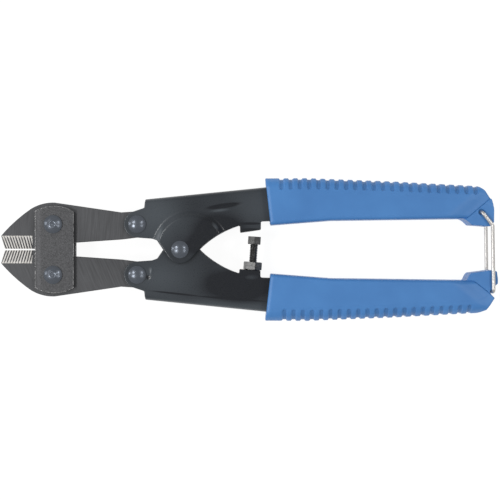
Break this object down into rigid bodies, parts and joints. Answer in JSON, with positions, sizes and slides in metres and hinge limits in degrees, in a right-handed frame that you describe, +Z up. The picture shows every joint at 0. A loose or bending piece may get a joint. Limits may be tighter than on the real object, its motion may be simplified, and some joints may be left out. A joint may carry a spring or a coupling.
{
  "type": "bolt cutters",
  "caption": "Compact bolt cutters: riveted jaws driven by crossed channel handles with blue ribbed grips, a stop bolt with lock nut, and a wire bail that holds the handles shut.",
  "frame": {"origin": "middle of the underside that the tool lies on, half way along its length", "axes": "+X from the jaws to the handle ends, +Y towards the upper handle, +Z up off the surface it lies on"},
  "size_m": [0.2084, 0.06, 0.0172],
  "materials": {
    "jaw_steel": "dark forged steel with fine grinding lines",
    "link_steel": "dark sandblasted steel with worn edges",
    "rivet_steel": "dark polished domes",
    "handle_paint": "gloss black paint",
    "black_oxide": "black oxide with worn faces",
    "grip_plastic": "blue moulded plastic, satin",
    "chrome_wire": "bright plated wire"
  },
  "bodies": {
    "lower_handle": {"lower_handle": "handle_paint", "lower_grip": "grip_plastic", "centre_rivet": "rivet_steel", "pivot_spacer": "rivet_steel", "lower_tail_rivet": "rivet_steel"},
    "upper_handle": {"upper_handle": "handle_paint", "upper_grip": "grip_plastic", "upper_tail_rivet": "rivet_steel"},
    "lower_jaw": {"lower_jaw": "jaw_steel"},
    "upper_jaw": {"upper_jaw": "jaw_steel"},
    "link": {"front_link_plate": "link_steel", "rear_link_plate": "link_steel", "upper_jaw_rivet": "rivet_steel", "lower_jaw_rivet": "rivet_steel"},
    "bail": {"lock_bail": "chrome_wire"},
    "stop_bolt": {"adjusting_bolt": "black_oxide"},
    "nut": {"lock_nut": "black_oxide"}
  },
  "joints": [
    {"name": "handles_open", "type": "hinge", "parent": "lower_handle", "child": "upper_handle", "pos_m": [-0.0295, 0, 0.0086], "axis": [0, 0, 1], "range_deg": [0, 26]},
    {"name": "lower_jaw_turn", "type": "hinge", "parent": "lower_handle", "child": "lower_jaw", "pos_m": [-0.0476, -0.0106, 0.0086], "axis": [0, 0, 1], "range_deg": [0, 20.1]},
    {"name": "link_turn", "type": "hinge", "parent": "lower_jaw", "child": "link", "pos_m": [-0.0828, -0.0106, 0.0086], "axis": [0, 0, 1], "range_deg": [-7.1, 0]},
    {"name": "upper_jaw_turn", "type": "hinge", "parent": "upper_handle", "child": "upper_jaw", "pos_m": [-0.0476, 0.0106, 0.0086], "axis": [0, 0, 1], "range_deg": [-20.1, 0]},
    {"name": "bail_swing", "type": "hinge", "parent": "upper_handle", "child": "bail", "pos_m": [0.0966, 0.0157, 0.0086], "axis": [0, 0, 1], "range_deg": [0, 100.2]},
    {"name": "bolt_travel", "type": "slide", "parent": "lower_handle", "child": "stop_bolt", "axis": [0.0698, 0.9976, 0], "range_m": [-0.006, 0.0015]},
    {"name": "nut_turn", "type": "hinge", "parent": "lower_handle", "child": "nut", "pos_m": [0.0008, -0.0086, 0.0086], "axis": [0.0698, 0.9976, 0], "continuous": true}
  ],
  "couplings": [
    {"joint": "lower_jaw_turn", "follows": "handles_open", "ratio": 0.77},
    {"joint": "link_turn", "follows": "handles_open", "ratio": -0.27},
    {"joint": "upper_jaw_turn", "follows": "handles_open", "ratio": -0.77},
    {"joint": "bail_swing", "follows": "handles_open", "ratio": 3.85}
  ]
}
